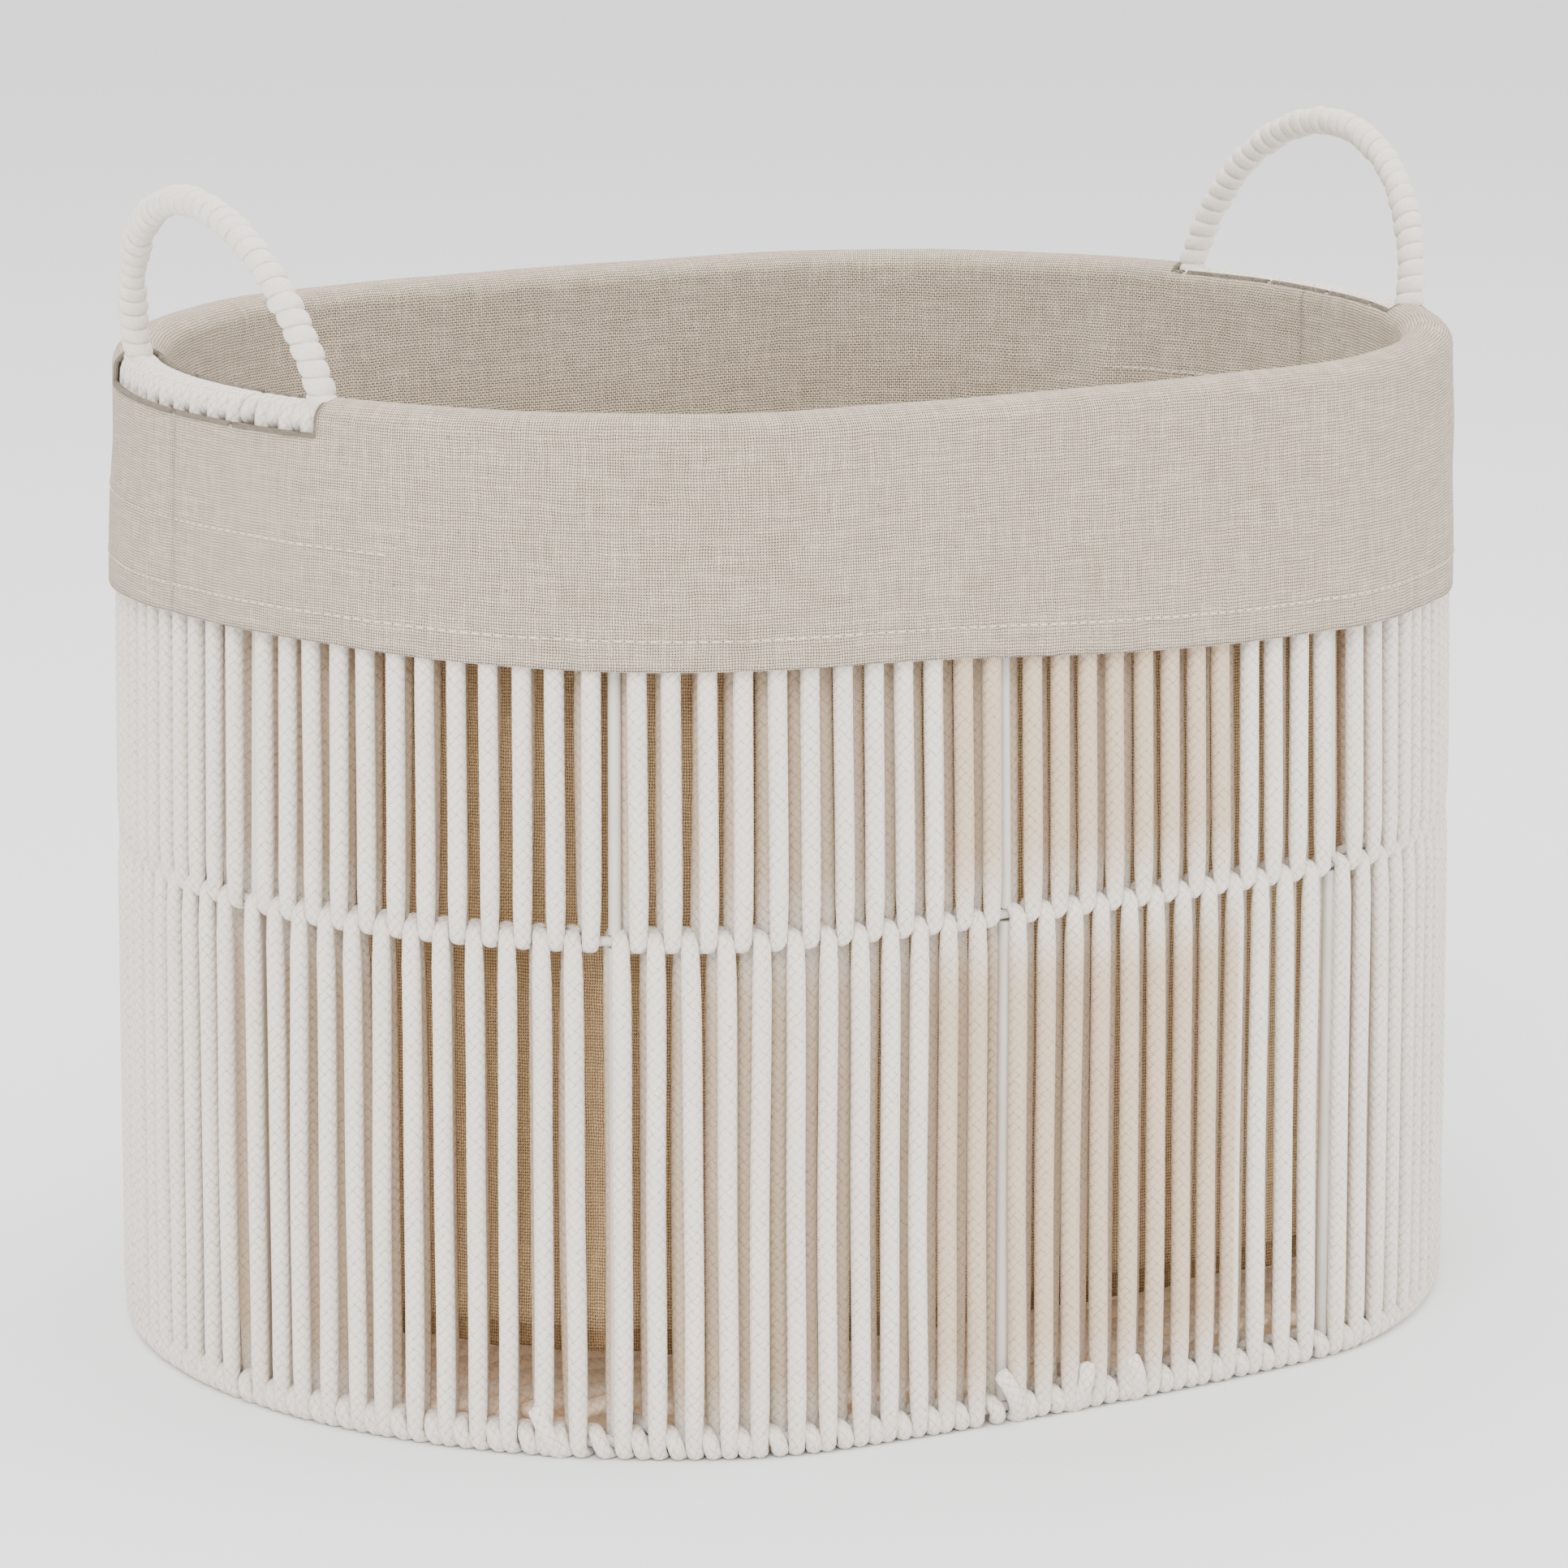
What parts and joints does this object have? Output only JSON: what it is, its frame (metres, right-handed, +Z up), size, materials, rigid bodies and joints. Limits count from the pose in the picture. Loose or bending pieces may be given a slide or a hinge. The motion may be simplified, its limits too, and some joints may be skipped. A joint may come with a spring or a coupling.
{
  "type": "laundry basket",
  "caption": "Oval laundry basket: wire frame wound with braided cotton cord, wrapped loop handles and a lift-out linen liner with a folded cuff.",
  "frame": {"origin": "centre of the footprint, on the floor", "axes": "+Z up, +X along the basket's long axis from the left handle to the right one, +Y to the back"},
  "size_m": [0.4492, 0.356, 0.3784],
  "materials": {
    "frame_wire": "satin powder coat",
    "wall_cord": "braided cotton cord",
    "base_cord": "braided cotton cord",
    "handle_cord": "braided cotton cord, wrapped flat",
    "liner_linen": "plain-weave linen"
  },
  "bodies": {
    "basket": {"top_ring": "frame_wire", "middle_ring": "frame_wire", "bottom_ring": "frame_wire", "upper_uprights": "frame_wire", "lower_uprights": "frame_wire", "base_cross_wires": "frame_wire", "handle_wire_left": "frame_wire", "handle_wire_right": "frame_wire", "upper_winding_right": "wall_cord", "upper_winding_back": "wall_cord", "upper_winding_left": "wall_cord", "upper_winding_front": "wall_cord", "lower_winding_right": "wall_cord", "lower_winding_back": "wall_cord", "lower_winding_left": "wall_cord", "lower_winding_front": "wall_cord", "base_weave": "base_cord", "handle_wrap_left": "handle_cord", "handle_wrap_right": "handle_cord"},
    "liner": {"liner_front_wall": "liner_linen", "liner_back_wall": "liner_linen", "liner_front_cuff": "liner_linen", "liner_back_cuff": "liner_linen", "liner_floor_panel": "liner_linen", "cuff_end_left": "liner_linen", "cuff_end_right": "liner_linen"}
  },
  "joints": [
    {"name": "liner_lift", "type": "slide", "parent": "basket", "child": "liner", "axis": [0, 0, 1], "range_m": [0, 0.42]}
  ]
}
